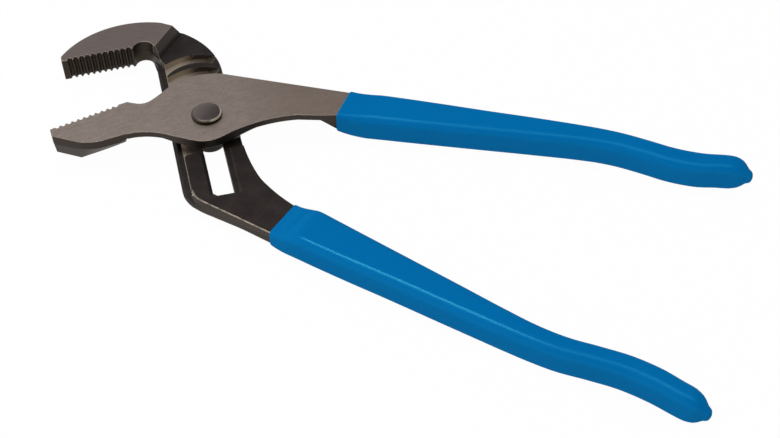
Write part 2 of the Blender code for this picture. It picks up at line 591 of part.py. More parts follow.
def tongue_half(material):
    """Front forging: lower jaw, face plate with the bolt's hole, tongue, and the tang of the upper grip."""
    slope = math.tan(math.radians(JAW_TILT))
    first = LOWER_JAW_TIP + LOWER_JAW_LAND
    teeth = tooth_face(first, LOWER_JAW_END, LOWER_JAW_HEIGHT, -LOWER_TOOTH_DEPTH)
    corner = (LOWER_JAW_CORNER, LOWER_JAW_HEIGHT + slope * (LOWER_JAW_CORNER - first) - LOWER_JAW_DROP)
    tip_top = (LOWER_JAW_TIP, LOWER_JAW_HEIGHT - slope * LOWER_JAW_LAND - LOWER_JAW_DROP)
    jaw_rim = smooth_stations([(-0.0300, 0.0046), (-0.0350, 0.0050), (-0.0400, 0.0055), (-0.0430, 0.0065),
                               (-0.0460, 0.0080)], 9) + [(-0.0542, 0.0162)]
    jaw_back = smooth_stations([(-0.0289, 0.0124), (-0.0340, 0.0122), (-0.0380, 0.0121), (-0.0420, 0.0121),
                                (-0.0462, 0.0121)], 9) + [(-0.0534, 0.0195)]
    jaw = jaw_rim + [tip_top] + teeth + [corner]
    jaw_low = jaw_back + [(LOWER_JAW_TIP + 0.0006, tip_top[1])] + teeth
    jaw_low.append((corner[0] - 0.0005, corner[1] - 0.0001))
    bulge_start = (-0.0103, 0.0199)
    bulge_end = (0.0145, 0.0193)
    notch = smooth_stations([corner, (-0.0200, 0.0182), (-0.0175, 0.0175), (-0.0150, 0.0179),
                             bulge_start], 10)[1:-1]
    bulge = arc_through(BULGE_CENTRE, bulge_start, bulge_end, 14)
    end_left, end_right = handle_sides(UPPER_ANGLE, UPPER_CUT, UPPER_STATIONS, UPPER_MOUTH + MOUTH_OVERLAP)
    mouth_left, mouth_right = handle_sides(UPPER_ANGLE, UPPER_CUT, UPPER_STATIONS, UPPER_MOUTH)
    ramp_left = (0.0371, -0.0199)
    ramp_right = mix(bulge_end, mouth_right, 0.75)
    handle_top = [mix(bulge_end, mouth_right, 0.2), ramp_right, mouth_right, end_right]
    waist_start = (-0.0160, -0.0036)
    belly = smooth_stations([(0.0295, -0.0155), (0.0250, -0.0140), (0.0200, -0.0129), (0.0150, -0.0123),
                             (0.0100, -0.0122), (0.0050, -0.0125), (0.0020, -0.0130), (-0.0010, -0.0134),
                             (-0.0040, -0.0132), (-0.0070, -0.0120), (-0.0100, -0.0096), waist_start], 26)
    waist = arc_through(WAIST_CENTRE, waist_start, (-0.0270, 0.0038), 8)[1:] + [(-0.0297, 0.0044)]
    plate = notch + bulge + handle_top + [end_left, mouth_left, ramp_left] + belly + waist
    outline = jaw + plate
    bevels = []
    backs = []
    for point in plate:
        # The back edge is small round the pivot and along the top, and wide at the waists
        widened = (math.hypot(*point) - BEVEL_ROUND) / BEVEL_RUN
        bevel = mix(PLATE_BEVEL, WAIST_BEVEL, min(max(widened, 0), 1))
        if point[1] > 0 and point[0] > BEVEL_TOP_END:
            bevel = PLATE_BEVEL
        back = PLATE_BACK
        if point in (mouth_right, mouth_left, end_right, end_left):
            back = UPPER_TANG_BACK
            bevel = TANG_EDGE
        bevels.append(bevel)
        backs.append(back)
    part = (FACE - JAW_WALL - PLATE_BACK) / (FACE - JAW_WALL - NECK_BACK)
    count = len(jaw)
    # The jaw's foot leaves the plate along a steep step, from the plate's bevel down
    step_start = (-0.0294, 0.0084, PLATE_BACK)
    step_high = [(-0.0240, 0.0170), (-0.0266, 0.0116)]
    step_low = [(-0.0252, 0.0176), (-0.0272, 0.0147)]
    shrunk = inset(outline, [0] * count + [bevel * BEVEL_REACH for bevel in bevels])
    upper = at_height(outline, FACE)
    wall = [(*jaw[0], PLATE_BACK + WAIST_BEVEL)] + at_height(jaw[1:], FACE - JAW_WALL)
    wall += [(x, y, back + bevel) for (x, y), back, bevel in zip(plate, backs, bevels)]
    lower = [step_start] + at_height(mix(jaw[1:], jaw_low[1:], part), PLATE_BACK)
    lower += [(x, y, back) for (x, y), back in zip(shrunk[count:], backs)]
    steps = [lower[:count] + at_height(step_high, PLATE_BACK), at_height(jaw_low + step_low, NECK_BACK)]
    splits = [(count + plate.index(ramp_right), count + plate.index(ramp_left)),
              (count + plate.index(mouth_right), count + plate.index(mouth_left))]
    half = stepped("tongue_half", [upper, wall, lower], count, steps, splits, material)
    combine(half, tang("upper_tang", UPPER_ANGLE, UPPER_CUT, UPPER_MOUTH, UPPER_STATIONS,
                       UPPER_TANG_BACK, FACE), "UNION")
    combine(half, tongue(), "UNION")
    hole = arc((0, 0), SLOT_WIDTH / 2, 0, 360, 32)[:-1]
    combine(half, prism("bolt_hole", hole, PLATE_BACK - CUT_PAST, FACE + CUT_PAST), "DIFFERENCE")
    return half


def tongue():
    """The curved tongue. At the open angle its inner end stands just off the grooves' open ends."""
    inner = GROOVE_INNER_RADIUS + GAP
    outer = GROOVE_INNER_RADIUS + GROOVE_WIDTH - GAP
    side = GROOVE_MOUTH_X - GAP
    outer_start = math.degrees(math.acos(side / outer)) - OPEN_ANGLE
    inner_start = math.degrees(math.acos(side / inner)) - OPEN_ANGLE
    outline = arc((0, 0), outer, outer_start, TONGUE_END_ANGLE, 8)
    outline += arc((0, 0), inner, TONGUE_END_ANGLE, inner_start, 6)
    return prism("tongue", outline, PLATE_BACK - GROOVE_DEPTH, PLATE_BACK + CUT_PAST)


def pivot_bolt(material):
    """Bolt with a low round head; a shoulder keeps it clear of the nut."""
    head = BOLT_HEAD_DIAMETER / 2
    shank = SLOT_WIDTH / 2 - GAP
    thread = THREAD_DIAMETER / 2
    seat = FACE + GAP
    top = seat + BOLT_HEAD_HEIGHT
    profile = [(thread - GAP, 0.0), (thread, GAP), (thread, NECK_BACK), (shank, NECK_BACK), (shank, seat),
               (head, seat)]
    profile += arc((head - BOLT_HEAD_ROUND, top - BOLT_HEAD_ROUND), BOLT_HEAD_ROUND, 0, 90, 5)
    return revolve("pivot_bolt", profile, 40, material)


def pivot_nut(material):
    """Flat round nut with chamfered rims."""
    bore = THREAD_DIAMETER / 2 + GAP
    rim = NUT_DIAMETER / 2
    top = NUT_THICKNESS
    profile = [(bore, 0.0), (rim - NUT_CHAMFER, 0.0), (rim, NUT_CHAMFER), (rim, top - NUT_CHAMFER),
               (rim - NUT_CHAMFER, top), (bore, top), (bore, 0.0)]
    return revolve("pivot_nut", profile, 40, material)


def main():
    for obj in list(bpy.data.objects):
        bpy.data.objects.remove(obj)
    steel = make_material("ground_steel", (0.235, 0.200, 0.181), 0.9, 0.42)
    dark = make_material("dark_forging", (0.030, 0.024, 0.023), 0.7, 0.55)
    bright = make_material("bolt_steel", (0.130, 0.105, 0.100), 0.9, 0.30)
    vinyl = make_material("blue_vinyl", (0.0006, 0.125, 0.380), 0.0, 0.30)
    groove_half(dark)
    pivot_bolt(bright)
    pivot_nut(dark)
    grip("lower_grip", LOWER_ANGLE, LOWER_CUT, LOWER_MOUTH, LOWER_STATIONS, LOWER_DRIP,
         NECK_BACK, NECK_FRONT, vinyl)
    front = tongue_half(steel)
    upper = grip("upper_grip", UPPER_ANGLE, UPPER_CUT, UPPER_MOUTH, UPPER_STATIONS, UPPER_DRIP,
                 UPPER_TANG_BACK, FACE, vinyl)
    # The front half and its grip turn about the bolt together with everything that shapes them
    turn = math.radians(OPEN_ANGLE)
    pivot = bpy.data.objects.new("front_half_pivot", None)
    bpy.context.scene.collection.objects.link(pivot)
    pivot.rotation_euler = (0, 0, turn)
    moving = [front, upper]
    moving += [modifier.object for obj in (front, upper) for modifier in obj.modifiers]
    for obj in moving:
        obj.parent = pivot


main()
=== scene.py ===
import math

import bmesh
import bpy
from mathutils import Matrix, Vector


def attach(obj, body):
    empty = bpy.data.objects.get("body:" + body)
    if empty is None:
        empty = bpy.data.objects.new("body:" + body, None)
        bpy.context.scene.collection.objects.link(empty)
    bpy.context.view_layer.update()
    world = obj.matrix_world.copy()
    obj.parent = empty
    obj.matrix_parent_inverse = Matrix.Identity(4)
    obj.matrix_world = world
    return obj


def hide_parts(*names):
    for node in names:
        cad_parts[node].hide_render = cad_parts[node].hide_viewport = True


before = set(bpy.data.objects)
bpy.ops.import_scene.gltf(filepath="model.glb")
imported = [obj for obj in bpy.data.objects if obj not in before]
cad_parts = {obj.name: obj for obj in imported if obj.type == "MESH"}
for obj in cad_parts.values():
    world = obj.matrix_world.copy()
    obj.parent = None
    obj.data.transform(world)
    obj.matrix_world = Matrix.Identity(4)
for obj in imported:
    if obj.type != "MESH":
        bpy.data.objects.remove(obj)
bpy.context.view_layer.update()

millimetre = 0.001
scene = bpy.context.scene
scene.view_settings.view_transform = "Standard"
print("frame loaded:", ", ".join(sorted(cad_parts)))


# Heights along the bolt at which the shapes and finishes change, in millimetres
levels = {
    "neckBack": 3.0,
    "grooveFloor": 6.1,
    "neckTop": 8.5,
    "headFace": 13.0,
    "face": 14.0,
}


def linear(red, green, blue):
    # the shader's own value for a colour that is written as it looks on screen, 0 to 255
    channels = []
    for part in (red / 255, green / 255, blue / 255):
        channels.append(part / 12.92 if part <= 0.04045 else ((part + 0.055) / 1.055) ** 2.4)
    return (*channels, 1.0)


def mix(low, high, part):
    return low + (high - low) * part


def newObject(name, data):  # data is a mesh, a lamp or a camera
    made = bpy.data.objects.new(name, data)
    scene.collection.objects.link(made)
    return made


class Value:  # an output socket, with which plain maths can be written
    def __init__(self, book, socket):
        self.book = book
        self.socket = socket

    def __add__(self, other):
        return self.book.maths("ADD", self, other)

    def __sub__(self, other):
        return self.book.maths("SUBTRACT", self, other)

    def __rsub__(self, other):
        return self.book.maths("SUBTRACT", other, self)

    def __mul__(self, other):
        return self.book.maths("MULTIPLY", self, other)

    def __truediv__(self, other):
        return self.book.maths("DIVIDE", self, other)

    __radd__ = __add__
    __rmul__ = __mul__

    def limited(self, low, high):
        return self.book.maths("MINIMUM", self.book.maths("MAXIMUM", self, low), high)

    def between(self, low, high):  # 0 up to low, 1 from high on, and soft in between
        return self.book.node("ShaderNodeMapRange", {"interpolation_type": "SMOOTHSTEP"},
                              {"Value": self, "From Min": low, "From Max": high})

    def rising(self, ends):  # the same for a place along an axis, with both ends in millimetres
        return self.between(ends[0] * millimetre, ends[1] * millimetre)


class NodeBook:  # the nodes of one material or of one geometry tree
    def __init__(self, tree):
        self.tree = tree

    def node(self, kind, settings=None, sockets=None, output=0):
        made = self.tree.nodes.new(kind)
        for key, value in (settings or {}).items():
            setattr(made, key, value)
        for key, value in (sockets or {}).items():
            if isinstance(value, Value):
                self.tree.links.new(value.socket, made.inputs[key])
            else:
                made.inputs[key].default_value = value
        return Value(self, made.outputs[output]) if made.outputs else None

    def maths(self, operation, first, second):
        return self.node("ShaderNodeMath", {"operation": operation}, {0: first, 1: second})

    def split(self, vector):
        made = self.node("ShaderNodeSeparateXYZ", None, {0: vector})
        return [Value(self, socket) for socket in made.socket.node.outputs]

    def joined(self, x, y, z):
        return self.node("ShaderNodeCombineXYZ", None, {0: x, 1: y, 2: z})


class Finish(NodeBook):
    def __init__(self, name):
        self.material = bpy.data.materials.new(name)
        self.material.use_nodes = True
        NodeBook.__init__(self, self.material.node_tree)
        self.tree.nodes.clear()

    def blend(self, factor, first, second):
        return self.node("ShaderNodeMix", {"data_type": "RGBA"}, {0: factor, 6: first, 7: second}, output=2)

    def place(self):  # Object coordinates
        return self.node("ShaderNodeTexCoord", output=3)

    def upward(self):  # 1 where the surface faces straight up, 0 on an upright wall
        return self.split(self.node("ShaderNodeTexCoord", output=1))[2]

    def painted(self, name):  # a face value that the script has left on the mesh
        return self.node("ShaderNodeAttribute", {"attribute_name": name}, output=2)

    def stretched(self, vector, scale, turn=0.0):
        turned = self.node("ShaderNodeMapping", None,
                           {"Vector": vector, "Rotation": (0, 0, math.radians(-turn))})
        return self.node("ShaderNodeMapping", None, {"Vector": turned, "Scale": scale})

    def noise(self, vector, scale, detail=3.0, roughness=0.55):
        return self.node("ShaderNodeTexNoise", None,
                         {"Vector": vector, "Scale": scale, "Detail": detail, "Roughness": roughness})

    def bump(self, height, strength, distance):
        return self.node("ShaderNodeBump", None,
                         {"Height": height, "Strength": strength, "Distance": distance})

    def surface(self, sockets, gloss=None, share=0.0):  # gloss is a second layer, seen to that share
        shader = self.node("ShaderNodeBsdfPrincipled", None, sockets)
        if gloss:
            layer = self.node("ShaderNodeBsdfPrincipled", None, gloss)
            shader = self.node("ShaderNodeMixShader", None, {0: share, 1: shader, 2: layer})
        self.node("ShaderNodeOutputMaterial", None, {0: shader})
        return self.material


camera = {
    "place": (-0.0205, -0.3464, 0.3222),
    "looks": (0.173, 0.660, -0.731),
    "lens": 56.9,
    "sensorWidth": 36.0,
    "nearest": 0.01,
}
studio = {
    "floorHeight": -0.0004,
    "floorHalf": 3.0,
    "floorColour": (0.86, 0.86, 0.86, 1.0),
    "shadowKept": 0.02,       # share of the floor's own shading that the camera sees
    "horizon": 0.95,          # brightness of the room at eye level and straight up
    "zenith": 0.36,
    "climb": (0.12, 0.55),    # how high a ray points where the one becomes the other
    "frontShare": 0.75,       # the ceiling is dimmer on the camera's side
    "frontToBack": (-0.7, 0.2),
    "rightShare": 0.66,       # and the room towards the right
    "leftToRight": (-0.25, 0.35),
}
lamps = {
    "overheadSoftbox": {"place": (0.0, -0.15, 0.95), "target": (0.05, -0.05, 0.0), "size": (0.95, 0.55),
                        "power": 2.8},
    "stripLight": {"place": (-0.22, 0.08, 0.9), "target": (0.05, -0.05, 0.0), "size": (0.30, 0.34),
                   "power": 3.0},
    "leftSoftbox": {"place": (-0.7, -0.25, 0.55), "target": (0.0, -0.03, 0.0), "size": (0.9, 0.8),
                    "power": 0.5},
}


def makeCamera():
    data = bpy.data.cameras.new("camera")
    data.lens = camera["lens"]
    data.sensor_width = camera["sensorWidth"]
    data.clip_start = camera["nearest"]
    eye = newObject("camera", data)
    eye.location = camera["place"]
    eye.rotation_euler = Vector(camera["looks"]).to_track_quat("-Z", "Y").to_euler()
    scene.camera = eye


def softLight(name, place, target, size, power):
    data = bpy.data.lights.new(name, "AREA")
    data.shape = "RECTANGLE"
    data.size, data.size_y = size
    data.energy = power
    lamp = newObject(name, data)
    lamp.location = place
    lamp.rotation_euler = (Vector(target) - Vector(place)).to_track_quat("-Z", "Y").to_euler()


def makeRoom():
    world = bpy.data.worlds.new("room")
    world.use_nodes = True
    book = NodeBook(world.node_tree)
    book.tree.nodes.clear()
    x, y, z = book.split(book.node("ShaderNodeTexCoord"))
    ceiling = studio["zenith"] * mix(studio["frontShare"], 1.0, y.between(*studio["frontToBack"]))
    grey = mix(studio["horizon"], ceiling, z.between(*studio["climb"]))
    grey = grey * mix(1.0, studio["rightShare"], x.between(*studio["leftToRight"]))
    background = book.node("ShaderNodeBackground", None, {"Strength": grey})
    book.node("ShaderNodeOutputWorld", None, {0: background})
    background.socket.node.inputs["Color"].default_value = (1, 1, 1, 1)
    scene.world = world


def makeFloor():
    paper = Finish("paperSweep")
    rays = paper.node("ShaderNodeLightPath").socket.node.outputs
    seen = paper.maths("MAXIMUM", Value(paper, rays["Is Camera Ray"]), Value(paper, rays["Is Glossy Ray"]))
    seen = paper.maths("MAXIMUM", seen, Value(paper, rays["Is Transmission Ray"]))
    matt = paper.node("ShaderNodeBsdfDiffuse", None, {"Color": studio["floorColour"]})
    white = paper.node("ShaderNodeEmission", None, {"Color": (1, 1, 1, 1), "Strength": 1.0})
    both = paper.node("ShaderNodeMixShader", None, {0: seen * (1 - studio["shadowKept"]), 1: matt, 2: white})
    paper.node("ShaderNodeOutputMaterial", None, {0: both})
    half = studio["floorHalf"]
    bm = bmesh.new()
    corners = [bm.verts.new((x, y, studio["floorHeight"]))
               for x, y in ((-half, -half), (half, -half), (half, half), (-half, half))]
    bm.faces.new(corners)
    mesh = bpy.data.meshes.new("floor")
    bm.to_mesh(mesh)
    bm.free()
    mesh.materials.append(paper.material)
    floor = newObject("floor", mesh)


makeCamera()
makeRoom()
makeFloor()
for lampName, lamp in lamps.items():
    softLight(lampName, **lamp)
print("camera, room, floor and", len(lamps), "lamps made")


def addPiece(piece, body, slot, *nodes):
    # a finished piece that takes the place of CAD nodes and moves with their body
    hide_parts(*nodes)
    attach(piece, body)
    print(piece.name, "made:", len(piece.data.polygons), "faces")


# Both forgings are the frame's own solids with their edges broken. Worn edges are boxes of the model,
# (low corner, high corner, how bare the edge is rubbed and how bright its painted highlight is), and the
# first box that holds an edge counts.
# Pairs are places in millimetres between which a finish changes.
edges = {
    "weld": 0.002 * millimetre,
    "flatAngle": 0.6,         # facets that turn by fewer degrees than this become one face
    "sharpAngle": 24.0,       # and an edge that turns by more than this is broken
    "plate": 0.20 * millimetre,
    "forged": 0.32 * millimetre,
    "groove": 0.10 * millimetre,
    "tooth": 0.07 * millimetre,
    "fineLandsLeft": 3.0,     # the lands right of here and below there end in points too fine to be broken
    "fineLandsTop": 21.0,
    "roomShare": 0.36,        # a broken edge takes at most this share of the shortest edge beside it
    "rounds": 3,
    "level": 0.999,           # a face is level when its normal's height is more than this
    "slack": 0.2,             # an edge this near to a level belongs to it
}
steel = {
    "ground": linear(169, 155, 147),
    "groundDark": linear(151, 138, 129),
    "stain": linear(140, 124, 114),
    "side": linear(66, 59, 54),
    "sideLow": linear(58, 51, 46),
    "shaded": linear(30, 25, 21),
    "bare": linear(176, 165, 152),
    "grainTurn": 8.0,
    "faceHeights": (13.6, 13.9),
    "sideHeights": (8.5, 11.5),
    "handleStart": (6, 38),   # the face darkens along here
    "handleDarkShare": 0.62,
    "shadeLeft": (-15, -4),    # painted shade: the dark band on the sides round the pivot, and all below the plate there
    "shadeRight": (15, 27),
    "shadeTop": (-6, 0),
    "underHeights": (8.2, 8.7),
    "underLeft": (-18, -14),
    "wornAndGleamingEdges": [
        ((-60, -60, 13.5), (60, 60, 14.5), 0.35),
        ((-60, -60, 0), (-20, 60, 14), 0.12),
    ],
}
forging = {
    "scale": linear(61, 54, 52),
    "scaleDark": linear(46, 40, 38),
    "fillet": linear(36, 31, 29),
    "wall": linear(74, 67, 62),
    "toothShade": linear(58, 49, 40),
    "jawFace": linear(138, 125, 121),
    "jawFaceDark": linear(124, 111, 107),
    "facet": linear(80, 73, 68),
    "machined": linear(184, 172, 156),
    "machinedEnd": linear(112, 98, 83),
    "bare": linear(176, 162, 148),
    "grainTurn": -6.0,
    "filletFoot": (8.55, 8.8),
    "filletTop": (9.6, 10.1),
    "facetFoot": (9.9, 10.3),
    "jawHeights": (12.7, 12.9),
    "cutDarkens": (-6, 4),    # painted reflection: the grooves' floors lose their painted shine along here
    "cutFades": (2, 8),
    "cutFadeShare": 0.55,
    "wornAndGleamingEdges": [
        ((-7.2, -38.6, 7.0), (8.0, -12.0, 9.0), 0.04),
        ((-16, -31.5, 7.6), (-8, -27.5, 9.0), 0.02),
        ((-15, -70, 7.6), (-7.0, -31.5, 9.0), 0.75),
        ((-7.5, -70, 7.6), (-1.0, -38.6, 9.0), 0.8),
        ((-1.5, -70, 7.6), (6.0, -45.0, 9.0), 0.8),
        ((5.5, -70, 7.6), (12.5, -51.5, 9.0), 0.8),
        ((-11.6, -27.5, 8.0), (-10.5, -9.0, 9.0), 0.04),
        ((-15.4, 38.0, 7.8), (-10.6, 48.0, 13.6), 0.6),
        ((-14.6, 9.5, 5.9), (-10.5, 46.0, 8.8), 0.55),
        ((-60, 44.0, 12.2), (10, 80, 13.6), 0.5),
        ((-60, 40.0, 0), (-14.5, 60, 12.6), 0.12),
        ((-12, -12.0, 5.9), (-1, 50.0, 8.8), 0.16),
        ((-1, -12.0, 5.9), (12, 50.0, 8.8), 0.03),
    ],
}
upperTeeth = {
    "left": -50.5,
    "right": -14.4,
    "low": 44.0,
    "high": 51.5,
    "edgesAbove": 40.0,
}
grooves = {
    "count": 7,
    "pitch": 7.85,
    "innerRadius": 14.4,
    "width": 5.0,
    "pocketLow": -13.2,
    "pocketHigh": -6.6,
    "mouth": -11.6,
    "slotSide": 4.2,
    "slack": 0.15,            # a face this near to a groove's wall belongs to it
}


def evaluated(piece):  # the piece's mesh with its modifiers applied
    mesh = bpy.data.meshes.new_from_object(piece.evaluated_get(bpy.context.evaluated_depsgraph_get()))
    piece.modifiers.clear()
    return mesh


def wearAndGleamAt(place, wornAndGleaming):
    for low, high, bare in wornAndGleaming:
        if all(a <= part <= b for a, part, b in zip(low, place, high)):
            return bare
    return 0.0


def foldsCollapsed(mesh):
    # where two widths of broken edge meet, a flat face can fold over itself by a sliver
    bm = bmesh.new()
    bm.from_mesh(mesh)
    bmesh.ops.triangulate(bm, faces=[face for face in bm.faces if abs(face.normal.z) > edges["level"]])
    bm.normal_update()
    folded = []
    for face in bm.faces:
        if len(face.verts) == 3 and abs(face.normal.z) > edges["level"]:
            long = sorted(face.edges, key=lambda edge: edge.calc_length())[1:]
            beside = [other for edge in long for other in edge.link_faces if other is not face]
            if len(beside) == 2 and all(other.normal.z * face.normal.z < -0.99 for other in beside):
                folded.append(min(face.edges, key=lambda edge: edge.calc_length()))
    bmesh.ops.collapse(bm, edges=list(dict.fromkeys(folded)))
    bmesh.ops.dissolve_degenerate(bm, dist=0.0001 * millimetre, edges=bm.edges)
    bm.to_mesh(mesh)
    bm.free()
    print("folded slivers collapsed:", len(folded))


def cleanSolid(node, name, widthOf):
    # the frame's solid without its flat faces' inner edges, each sharp edge with its own bevel weight
    bm = bmesh.new()
    bm.from_mesh(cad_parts[node].data)
    bmesh.ops.remove_doubles(bm, verts=bm.verts, dist=edges["weld"])
    bmesh.ops.dissolve_limit(bm, angle_limit=math.radians(edges["flatAngle"]), verts=bm.verts, edges=bm.edges)
    weight = bm.edges.layers.float.new("bevel_weight_edge")
    for edge in bm.edges:
        if len(edge.link_faces) == 2 and edge.calc_face_angle(0) > math.radians(edges["sharpAngle"]):
            middle = (edge.verts[0].co + edge.verts[1].co) / 2 / millimetre
            room = min(near.calc_length() for vert in edge.verts for near in vert.link_edges)
            edge[weight] = min(widthOf(middle), room * edges["roomShare"]) / edges["forged"]
    mesh = bpy.data.meshes.new(name)
    bm.to_mesh(mesh)
    bm.free()
    return mesh


def levelNormals(mesh):
    # level faces are shaded flat, and the broken edges beside them take up all of the turn
    corners = [tuple(corner.vector) for corner in mesh.corner_normals]
    for polygon in mesh.polygons:
        if abs(polygon.normal.z) > edges["level"]:
            for i in polygon.loop_indices:
                corners[i] = (0.0, 0.0, math.copysign(1.0, polygon.normal.z))
    mesh.normals_split_custom_set(corners)


def paintFaces(mesh, mark, valueOf):  # a value on each face, for the shaders to read
    painted = mesh.attributes.new(mark, "FLOAT", "FACE")
    for polygon in mesh.polygons:
        painted.data[polygon.index].value = valueOf(polygon)


def brokenEdges(node, name, widthOf, material, wornAndGleaming, marks):
    mesh = cleanSolid(node, name, widthOf)
    mesh.materials.clear()
    for _ in range(2):  # the second place marks the faces that the bevel makes
        mesh.materials.append(material)
    piece = newObject(name, mesh)
    bevel = piece.modifiers.new("brokenEdges", "BEVEL")
    bevel.limit_method = "WEIGHT"
    bevel.width = edges["forged"]
    bevel.segments = edges["rounds"]
    bevel.use_clamp_overlap = False
    bevel.material = 1
    bevel.miter_outer = "MITER_ARC"
    mesh.shade_smooth()
    broken = evaluated(piece)
    foldsCollapsed(broken)
    for polygon in broken.polygons:
        polygon.use_smooth = abs(polygon.normal.z) < edges["level"]
    piece.data = broken
    piece.modifiers.new("flatFaces", "WEIGHTED_NORMAL").weight = 80
    finished = evaluated(piece)
    piece.data = finished
    levelNormals(finished)
    paintFaces(finished, "wearAndGleam", lambda face: wearAndGleamAt(face.center / millimetre, wornAndGleaming) * face.material_index)
    for mark, rule in marks.items():
        paintFaces(finished, mark, lambda face: rule(face.center / millimetre, face.normal))
    for polygon in finished.polygons:
        polygon.material_index = 0
    finished.materials.pop(index=1)
    return piece


def frontEdge(middle):
    return edges["plate"] if middle.z > levels["face"] - edges["slack"] else edges["forged"]


def backEdge(middle):
    onTeeth = middle.x < upperTeeth["right"] and middle.y > upperTeeth["edgesAbove"]
    if onTeeth and middle.z < levels["headFace"] - edges["slack"]:
        return edges["tooth"]
    if middle.z > levels["neckTop"] + 2:
        return edges["plate"]
    if middle.y > grooves["pocketLow"] and middle.z > levels["grooveFloor"] - edges["slack"]:
        fine = middle.x >= edges["fineLandsLeft"] and middle.y <= edges["fineLandsTop"]
        return 0.0 if fine else edges["groove"]
    return edges["forged"]


def machinedMark(place, normal):
    # 1 on the floors and walls that the grooves' cutter left
    if not levels["grooveFloor"] - 0.1 < place.z < levels["neckTop"] - grooves["slack"]:
        return 0.0
    if normal.z > 0.6:
        return 1.0 if place.x > grooves["mouth"] and place.y > grooves["pocketLow"] else 0.0
    if grooves["pocketLow"] - 0.3 < place.y < grooves["pocketHigh"] + 1 and abs(normal.y) > 0.7:
        return 1.0
    for k in range(grooves["count"]):
        reach = math.hypot(place.x, place.y - grooves["pitch"] * (k - (grooves["count"] - 1) / 2))
        for radius in (grooves["innerRadius"], grooves["innerRadius"] + grooves["width"]):
            onWall = abs(reach - radius) < grooves["slack"]
            if onWall and (abs(place.x) > grooves["slotSide"] or abs(normal.y) > 0.7):
                return 1.0
    return 0.0


def toothMark(place, normal):
    # 1 on the teeth and in the pipe notch of the upper jaw
    along = upperTeeth["left"] < place.x < upperTeeth["right"]
    across = upperTeeth["low"] < place.y < upperTeeth["high"]
    below = place.z < levels["headFace"] - grooves["slack"]
    return 1.0 if along and across and below and abs(normal.z) < 0.5 and normal.y < 0.5 else 0.0


def groundSteel():
    finish = Finish("groundSteel")
    place = finish.place()
    x, y, z = finish.split(place)
    upward = finish.upward()
    grain = finish.noise(finish.stretched(place, (150, 3600, 150), steel["grainTurn"]), 1.0, 2.0)
    coarse = finish.noise(finish.stretched(place, (260, 900, 260), steel["grainTurn"]), 1.0, 3.0)
    cloud = finish.noise(place, 110.0, 4.0, 0.6)
    speck = finish.noise(place, 1300.0, 2.0)
    face = upward.between(0.8, 0.97) * z.rising(steel["faceHeights"])
    tone = grain * 0.25 + coarse * 0.35 + speck * 0.4
    ground = finish.blend(tone.between(0.35, 0.65), steel["groundDark"], steel["ground"])
    ground = finish.blend(cloud.between(0.60, 0.78) * 0.35, ground, steel["stain"])
    # the face darkens towards the handle
    ground = finish.blend(x.rising(steel["handleStart"]) * steel["handleDarkShare"], ground, steel["stain"])
    low = 1 - z.rising(steel["sideHeights"])
    side = finish.blend(low * (0.6 + 0.4 * speck), steel["side"], steel["sideLow"])
    # painted shade: the sides turn dark round the pivot and all below the plate there
    near = x.rising(steel["shadeLeft"]) * (1 - x.rising(steel["shadeRight"]))
    under = (1 - z.rising(steel["underHeights"])) * x.rising(steel["underLeft"])
    paintedShade = finish.maths("MAXIMUM", near * (1 - y.rising(steel["shadeTop"])), under)
    side = finish.blend(paintedShade * (0.85 + 0.15 * speck), side, steel["shaded"])
    colour = finish.blend(face, side, ground)
    # rubbed bare steel on the broken edges, which also paints their highlights
    colour = finish.blend(finish.painted("wearAndGleam") * (0.4 + 0.6 * cloud), colour, steel["bare"])
    rough = 0.38 + grain * 0.12 + (1 - face) * 0.10 + coarse * 0.06
    height = grain * face * 0.7 + coarse * face * 0.3 + speck * (1 - face) * 0.8
    return finish.surface({"Base Color": colour, "Metallic": 0.9, "Roughness": rough,
                           "Normal": finish.bump(height, 0.16, 0.00002)})


